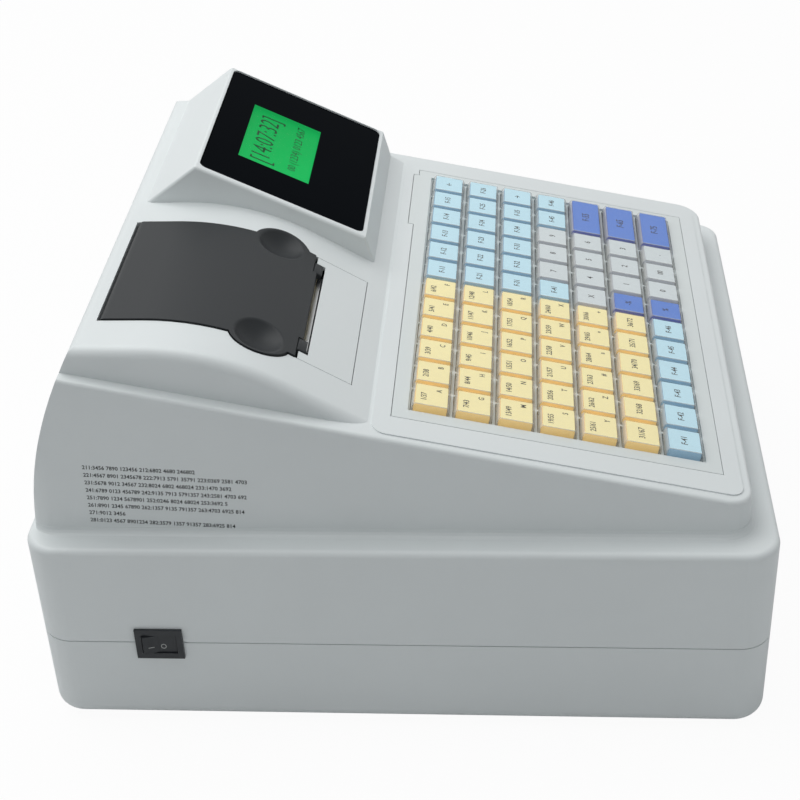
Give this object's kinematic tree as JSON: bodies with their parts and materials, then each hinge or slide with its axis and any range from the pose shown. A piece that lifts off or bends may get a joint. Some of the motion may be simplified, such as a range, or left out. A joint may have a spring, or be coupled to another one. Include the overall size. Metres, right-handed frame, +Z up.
{
  "type": "ticket register",
  "caption": "Electronic cash register: sloped keyboard with keys in coloured banks, receipt printer under a dark lid, tilted operator display, and a lockable drawer in the base.",
  "frame": {"origin": "on the surface that the feet stand on, below the middle of the case", "axes": "+X is the operator's right, +Y is the back and +Z is up; the drawer opens towards -Y"},
  "size_m": [0.3268, 0.3521, 0.222],
  "materials": {
    "case_plastic": "fine texture",
    "frame_plastic": "satin",
    "foot_rubber": "matt",
    "steel": "satin",
    "tray_steel": "satin",
    "lock_metal": "polished",
    "insert_plastic": "matt",
    "clip_plastic": "satin",
    "copper": "enamelled",
    "dark_plastic": "satin",
    "iron": "varnished",
    "port_metal": "satin",
    "black_pane": "polished",
    "display_green": "lit",
    "mat_rubber": "matt",
    "circuit_board": "lacquered",
    "cover_plastic": "satin",
    "gear_plastic": "satin",
    "paper": "matt",
    "bucket_plastic": "matt",
    "key_yellow": "clear cap over a label",
    "key_light_blue": "clear cap over a label",
    "key_dark_blue": "clear cap over a label",
    "key_white": "clear cap over a label"
  },
  "bodies": {
    "case": {"base_pan": "case_plastic", "feet": "foot_rubber", "drawer_case": "case_plastic", "case_screws": "steel", "top_case": "case_plastic", "display_window": "black_pane", "display_module": "display_green", "keyboard_frame": "frame_plastic", "key_mat": "mat_rubber", "key_board": "circuit_board", "printer_front_panel": "case_plastic", "printer_frame": "tray_steel", "print_head": "steel", "paper_bucket": "bucket_plastic", "feed_motor": "steel", "rocker_bezel": "dark_plastic", "power_inlet": "dark_plastic", "transformer": "iron", "data_port": "port_metal", "main_board": "circuit_board", "latch_solenoid": "copper"},
    "drawer": {"drawer_tray": "tray_steel", "drawer_front": "case_plastic", "cash_insert": "insert_plastic", "coin_cups": "insert_plastic"},
    "lid": {"printer_cover": "cover_plastic", "cutter_bar": "steel"},
    "platen": {"platen_roller": "foot_rubber", "platen_gear": "gear_plastic"},
    "pinion": {"motor_pinion": "gear_plastic"},
    "paper": {"paper_roll": "paper"},
    "switch_rocker": {"rocker": "dark_plastic"},
    "lock": {"lock_barrel": "lock_metal"},
    "latch": {"latch_hook": "steel"},
    "clip_1": {"bill_clip_1": "clip_plastic"},
    "clip_2": {"bill_clip_2": "clip_plastic"},
    "clip_3": {"bill_clip_3": "clip_plastic"},
    "clip_4": {"bill_clip_4": "clip_plastic"},
    "department_keys_rear_body": {"department_keys_rear": "key_yellow"},
    "department_keys_middle_body": {"department_keys_middle": "key_yellow"},
    "department_keys_front_body": {"department_keys_front": "key_yellow"},
    "function_keys_rear_body": {"function_keys_rear": "key_light_blue"},
    "function_keys_front_body": {"function_keys_front": "key_light_blue"},
    "key_7_cap": {"key_7": "key_white"},
    "key_8_cap": {"key_8": "key_white"},
    "key_9_cap": {"key_9": "key_white"},
    "key_4_cap": {"key_4": "key_white"},
    "key_5_cap": {"key_5": "key_white"},
    "key_6_cap": {"key_6": "key_white"},
    "key_1_cap": {"key_1": "key_white"},
    "key_2_cap": {"key_2": "key_white"},
    "key_3_cap": {"key_3": "key_white"},
    "key_0_cap": {"key_0": "key_white"},
    "key_00_cap": {"key_00": "key_white"},
    "key_point_cap": {"key_point": "key_white"},
    "key_quantity_cap": {"key_quantity": "key_white"},
    "discount_keys_body": {"discount_keys": "key_dark_blue"},
    "key_charge_cap": {"key_charge": "key_dark_blue"},
    "key_subtotal_cap": {"key_subtotal": "key_dark_blue"},
    "key_cash_cap": {"key_cash": "key_dark_blue"}
  },
  "joints": [
    {"name": "drawer_slide", "type": "slide", "parent": "case", "child": "drawer", "axis": [0, -1, 0], "range_m": [0, 0.21]},
    {"name": "printer_cover_hinge", "type": "hinge", "parent": "case", "child": "lid", "pos_m": [-0.065, 0.132, 0.2], "axis": [-1, 0, 0], "range_deg": [0, 95]},
    {"name": "platen_turn", "type": "hinge", "parent": "case", "child": "platen", "pos_m": [-0.065, 0.051, 0.172], "axis": [-1, 0, 0], "continuous": true},
    {"name": "pinion_turn", "type": "hinge", "parent": "case", "child": "pinion", "pos_m": [-0.1, 0.051, 0.1609], "axis": [-1, 0, 0], "continuous": true},
    {"name": "paper_turn", "type": "hinge", "parent": "case", "child": "paper", "pos_m": [-0.065, 0.098, 0.1647], "axis": [-1, 0, 0], "continuous": true},
    {"name": "rocker_switch", "type": "hinge", "parent": "case", "child": "switch_rocker", "pos_m": [-0.162, 0.1156, 0.0516], "axis": [0, 0, -1], "range_deg": [0, 16]},
    {"name": "lock_turn", "type": "hinge", "parent": "drawer", "child": "lock", "pos_m": [0, -0.1742, 0.0853], "axis": [0, -1, 0], "range_deg": [0, 90]},
    {"name": "bill_clip_1_lift", "type": "hinge", "parent": "drawer", "child": "clip_1", "pos_m": [-0.10462, 0.065, 0.0565], "axis": [-1, 0, 0], "range_deg": [0, 45], "stiffness_Nm_per_rad": 0.05, "springref_deg": -28.65},
    {"name": "bill_clip_2_lift", "type": "hinge", "parent": "drawer", "child": "clip_2", "pos_m": [-0.03488, 0.065, 0.0565], "axis": [-1, 0, 0], "range_deg": [0, 45], "stiffness_Nm_per_rad": 0.05, "springref_deg": -28.65},
    {"name": "bill_clip_3_lift", "type": "hinge", "parent": "drawer", "child": "clip_3", "pos_m": [0.03488, 0.065, 0.0565], "axis": [-1, 0, 0], "range_deg": [0, 45], "stiffness_Nm_per_rad": 0.05, "springref_deg": -28.65},
    {"name": "bill_clip_4_lift", "type": "hinge", "parent": "drawer", "child": "clip_4", "pos_m": [0.10462, 0.065, 0.0565], "axis": [-1, 0, 0], "range_deg": [0, 45], "stiffness_Nm_per_rad": 0.05, "springref_deg": -28.65},
    {"name": "latch_swing", "type": "hinge", "parent": "case", "child": "latch", "pos_m": [0, 0.0978, 0.0335], "axis": [1, 0, 0], "range_deg": [0, 12], "stiffness_Nm_per_rad": 0.02, "springref_deg": -28.65},
    {"name": "press_department_keys_rear", "type": "slide", "parent": "case", "child": "department_keys_rear_body", "axis": [0, 0.2079, -0.9781], "range_m": [0, 0.0025], "stiffness_N_per_m": 1584, "springref_m": -0.0005},
    {"name": "press_department_keys_middle", "type": "slide", "parent": "case", "child": "department_keys_middle_body", "axis": [0, 0.2079, -0.9781], "range_m": [0, 0.0025], "stiffness_N_per_m": 1584, "springref_m": -0.0005},
    {"name": "press_department_keys_front", "type": "slide", "parent": "case", "child": "department_keys_front_body", "axis": [0, 0.2079, -0.9781], "range_m": [0, 0.0025], "stiffness_N_per_m": 1584, "springref_m": -0.0005},
    {"name": "press_function_keys_rear", "type": "slide", "parent": "case", "child": "function_keys_rear_body", "axis": [0, 0.2079, -0.9781], "range_m": [0, 0.0025], "stiffness_N_per_m": 2772, "springref_m": -0.0005},
    {"name": "press_function_keys_front", "type": "slide", "parent": "case", "child": "function_keys_front_body", "axis": [0, 0.2079, -0.9781], "range_m": [0, 0.0025], "stiffness_N_per_m": 792, "springref_m": -0.0005},
    {"name": "press_key_7", "type": "slide", "parent": "case", "child": "key_7_cap", "axis": [0, 0.2079, -0.9781], "range_m": [0, 0.0025], "stiffness_N_per_m": 220, "springref_m": -0.0005},
    {"name": "press_key_8", "type": "slide", "parent": "case", "child": "key_8_cap", "axis": [0, 0.2079, -0.9781], "range_m": [0, 0.0025], "stiffness_N_per_m": 220, "springref_m": -0.0005},
    {"name": "press_key_9", "type": "slide", "parent": "case", "child": "key_9_cap", "axis": [0, 0.2079, -0.9781], "range_m": [0, 0.0025], "stiffness_N_per_m": 220, "springref_m": -0.0005},
    {"name": "press_key_4", "type": "slide", "parent": "case", "child": "key_4_cap", "axis": [0, 0.2079, -0.9781], "range_m": [0, 0.0025], "stiffness_N_per_m": 220, "springref_m": -0.0005},
    {"name": "press_key_5", "type": "slide", "parent": "case", "child": "key_5_cap", "axis": [0, 0.2079, -0.9781], "range_m": [0, 0.0025], "stiffness_N_per_m": 220, "springref_m": -0.0005},
    {"name": "press_key_6", "type": "slide", "parent": "case", "child": "key_6_cap", "axis": [0, 0.2079, -0.9781], "range_m": [0, 0.0025], "stiffness_N_per_m": 220, "springref_m": -0.0005},
    {"name": "press_key_1", "type": "slide", "parent": "case", "child": "key_1_cap", "axis": [0, 0.2079, -0.9781], "range_m": [0, 0.0025], "stiffness_N_per_m": 220, "springref_m": -0.0005},
    {"name": "press_key_2", "type": "slide", "parent": "case", "child": "key_2_cap", "axis": [0, 0.2079, -0.9781], "range_m": [0, 0.0025], "stiffness_N_per_m": 220, "springref_m": -0.0005},
    {"name": "press_key_3", "type": "slide", "parent": "case", "child": "key_3_cap", "axis": [0, 0.2079, -0.9781], "range_m": [0, 0.0025], "stiffness_N_per_m": 220, "springref_m": -0.0005},
    {"name": "press_key_0", "type": "slide", "parent": "case", "child": "key_0_cap", "axis": [0, 0.2079, -0.9781], "range_m": [0, 0.0025], "stiffness_N_per_m": 220, "springref_m": -0.0005},
    {"name": "press_key_00", "type": "slide", "parent": "case", "child": "key_00_cap", "axis": [0, 0.2079, -0.9781], "range_m": [0, 0.0025], "stiffness_N_per_m": 220, "springref_m": -0.0005},
    {"name": "press_key_point", "type": "slide", "parent": "case", "child": "key_point_cap", "axis": [0, 0.2079, -0.9781], "range_m": [0, 0.0025], "stiffness_N_per_m": 220, "springref_m": -0.0005},
    {"name": "press_key_quantity", "type": "slide", "parent": "case", "child": "key_quantity_cap", "axis": [0, 0.2079, -0.9781], "range_m": [0, 0.0025], "stiffness_N_per_m": 220, "springref_m": -0.0005},
    {"name": "press_discount_keys", "type": "slide", "parent": "case", "child": "discount_keys_body", "axis": [0, 0.2079, -0.9781], "range_m": [0, 0.0025], "stiffness_N_per_m": 264, "springref_m": -0.0005},
    {"name": "press_key_charge", "type": "slide", "parent": "case", "child": "key_charge_cap", "axis": [0, 0.2079, -0.9781], "range_m": [0, 0.0025], "stiffness_N_per_m": 220, "springref_m": -0.0005},
    {"name": "press_key_subtotal", "type": "slide", "parent": "case", "child": "key_subtotal_cap", "axis": [0, 0.2079, -0.9781], "range_m": [0, 0.0025], "stiffness_N_per_m": 220, "springref_m": -0.0005},
    {"name": "press_key_cash", "type": "slide", "parent": "case", "child": "key_cash_cap", "axis": [0, 0.2079, -0.9781], "range_m": [0, 0.0025], "stiffness_N_per_m": 220, "springref_m": -0.0005}
  ],
  "couplings": [
    {"joint": "platen_turn", "follows": "paper_turn", "ratio": 5.8},
    {"joint": "pinion_turn", "follows": "paper_turn", "ratio": -18.044}
  ]
}
